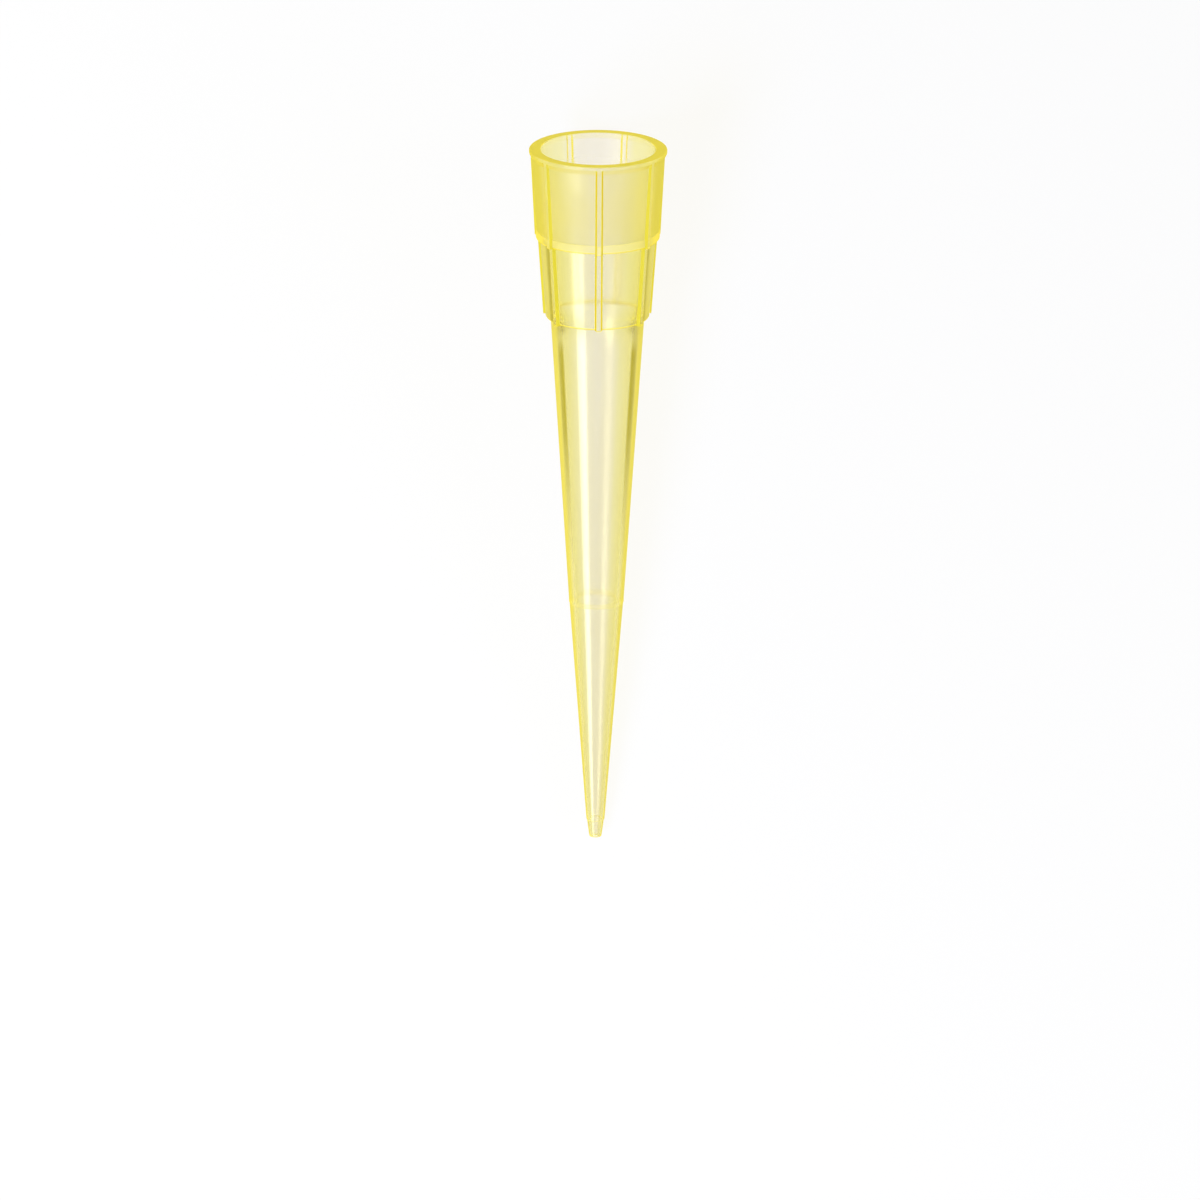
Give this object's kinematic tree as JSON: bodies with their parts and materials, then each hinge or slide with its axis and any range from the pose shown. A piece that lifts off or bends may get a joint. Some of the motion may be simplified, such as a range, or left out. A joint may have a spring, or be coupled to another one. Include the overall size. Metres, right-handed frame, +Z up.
{
  "type": "pipette tip",
  "caption": "Hollow tapering pipette tip in clear yellow plastic, lying on its side, with a ribbed collar in two tiers round the mouth and a fine nozzle",
  "frame": {"origin": "on the ground plane, at the middle of the lying tip's footprint", "axes": "+X from the mouth to the fine end along the ground, +Z up; the tip's own axis falls 4.9 degrees towards +X"},
  "size_m": [0.0502, 0.0094, 0.0095],
  "materials": {
    "tip_plastic": "clear yellow polypropylene, smooth and glossy as moulded"
  },
  "bodies": {
    "root": {"pipette_tip": "tip_plastic"}
  },
  "joints": []
}
